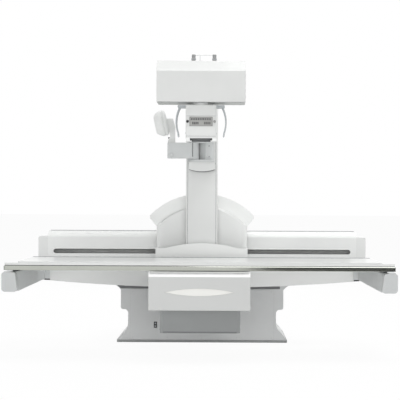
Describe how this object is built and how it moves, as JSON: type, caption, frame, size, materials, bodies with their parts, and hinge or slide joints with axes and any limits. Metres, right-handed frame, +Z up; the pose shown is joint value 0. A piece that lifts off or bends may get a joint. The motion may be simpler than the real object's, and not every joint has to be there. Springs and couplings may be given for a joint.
{
  "type": "tilting x-ray table",
  "caption": "Remote-controlled tilting x-ray table with a lifting base, a sliding scan carriage, a detector unit below the top and an over-table tube column.",
  "frame": {"origin": "centre of the floor anchor pattern, on the floor", "axes": "+X along the tabletop to the right as seen from the patient side, -Y towards the patient side, +Z up"},
  "size_m": [2.23, 2.1, 1.769],
  "materials": {
    "white_enamel": "gloss",
    "pale_enamel": "satin",
    "white_moulding": "satin",
    "pale_moulding": "satin",
    "cast_frame": "satin",
    "cast_base": "satin",
    "iron_parts": "matte",
    "machined_steel": "satin",
    "rail_metal": "polished",
    "bronze": "satin",
    "dark_parts": "satin",
    "tabletop": "gloss",
    "pan_grey": "satin",
    "handle_grey": "gloss",
    "grip_white": "gloss"
  },
  "bodies": {
    "base": {"base_plate": "cast_base", "base_casting": "cast_base", "base_front_panel": "white_enamel", "ballast": "iron_parts", "service_socket": "dark_parts", "mast_uprights": "iron_parts", "lift_cylinders": "machined_steel", "tower_cover": "white_enamel"},
    "mast_stage": {"stage_frame": "iron_parts", "lift_rods": "machined_steel", "upper_cylinders": "machined_steel"},
    "lift_carriage": {"lift_carriage": "iron_parts", "lift_rollers": "machined_steel", "upper_rods": "machined_steel", "tilt_bearing": "bronze", "tilt_motor": "dark_parts", "drive_cover": "pale_enamel"},
    "tilt_pinion": {"tilt_pinion": "machined_steel"},
    "tilting_frame": {"tilt_shaft": "machined_steel", "tilt_gear": "machined_steel", "main_beam": "white_enamel", "beam_caps": "white_moulding", "scan_rails": "machined_steel", "arm_left": "cast_frame", "arm_right": "cast_frame", "arm_caps": "pale_moulding", "cross_rails": "machined_steel"},
    "tabletop": {"top_panel": "tabletop", "table_frame": "cast_frame", "accessory_rails": "rail_metal", "slide_shoes": "dark_parts"},
    "scan_carriage": {"scan_truck": "cast_frame", "truck_rollers": "machined_steel", "carriage_back": "white_moulding", "carriage_cover": "white_moulding", "carriage_apron": "white_moulding", "detector_bridge": "pale_enamel", "detector_housing": "white_enamel", "lower_housing": "pale_enamel", "image_intensifier": "pan_grey", "grip_inset": "grip_white"},
    "column": {"column_mast": "white_enamel", "column_hub": "machined_steel"},
    "tube_carrier": {"tube_arm": "cast_frame", "carrier_cover": "white_moulding", "compressor_bracket": "cast_frame"},
    "tube_head": {"tube_hood": "white_moulding", "hood_pan": "pan_grey", "tube_housing": "pan_grey", "cable_glands": "dark_parts"},
    "collimator": {"collimator_case": "white_enamel", "filter_rails": "white_enamel", "display_panel": "dark_parts", "handle_left": "handle_grey", "handle_right": "handle_grey"},
    "knob_left": {"knob_left": "dark_parts"},
    "knob_right": {"knob_right": "dark_parts"},
    "compressor_arm": {"compressor_arm": "cast_frame"},
    "compressor_head": {"compressor_post": "white_moulding", "compressor_cone": "pale_moulding"}
  },
  "joints": [
    {"name": "lift", "type": "slide", "parent": "base", "child": "mast_stage", "axis": [0, 0, 1], "range_m": [0, 0.31]},
    {"name": "lift_upper", "type": "slide", "parent": "mast_stage", "child": "lift_carriage", "axis": [0, 0, 1], "range_m": [0, 0.31]},
    {"name": "tilt", "type": "hinge", "parent": "lift_carriage", "child": "tilting_frame", "pos_m": [0, -0.3, 0.54], "axis": [0, 1, 0], "range_deg": [-20, 90]},
    {"name": "pinion_turn", "type": "hinge", "parent": "lift_carriage", "child": "tilt_pinion", "pos_m": [-0.12728, -0.22, 0.41272], "axis": [0, 1, 0], "range_deg": [-450, 100]},
    {"name": "table_cross", "type": "slide", "parent": "tilting_frame", "child": "tabletop", "axis": [0, -1, 0], "range_m": [0, 0.25]},
    {"name": "scan", "type": "slide", "parent": "tilting_frame", "child": "scan_carriage", "axis": [1, 0, 0], "range_m": [-0.66, 0.66]},
    {"name": "column_swing", "type": "hinge", "parent": "scan_carriage", "child": "column", "pos_m": [0, -0.757, 0.5], "axis": [0, 1, 0], "range_deg": [-30, 30]},
    {"name": "tube_height", "type": "slide", "parent": "column", "child": "tube_carrier", "axis": [0, 0, 1], "range_m": [0, 0.35]},
    {"name": "tube_turn", "type": "hinge", "parent": "tube_carrier", "child": "tube_head", "pos_m": [0, -1.105, 1.585], "axis": [0, 1, 0], "range_deg": [-90, 90]},
    {"name": "collimator_turn", "type": "hinge", "parent": "tube_head", "child": "collimator", "pos_m": [0, -1.25, 1.46], "axis": [0, 0, 1], "range_deg": [-45, 45]},
    {"name": "knob_left_turn", "type": "hinge", "parent": "collimator", "child": "knob_left", "pos_m": [-0.0785, -1.33, 1.3725], "axis": [0, -1, 0], "range_deg": [-150, 150]},
    {"name": "knob_right_turn", "type": "hinge", "parent": "collimator", "child": "knob_right", "pos_m": [0.0785, -1.33, 1.3725], "axis": [0, -1, 0], "range_deg": [-150, 150]},
    {"name": "compressor_swing", "type": "hinge", "parent": "tube_carrier", "child": "compressor_arm", "pos_m": [-0.042, -0.91, 1.213], "axis": [0, 0, 1], "range_deg": [0, 90]},
    {"name": "compressor_fold", "type": "hinge", "parent": "compressor_arm", "child": "compressor_head", "pos_m": [-0.18271, -0.952, 1.188], "axis": [0, -1, 0], "range_deg": [0, 78]}
  ],
  "couplings": [
    {"joint": "lift_upper", "follows": "lift", "ratio": 1},
    {"joint": "pinion_turn", "follows": "tilt", "ratio": -5}
  ]
}
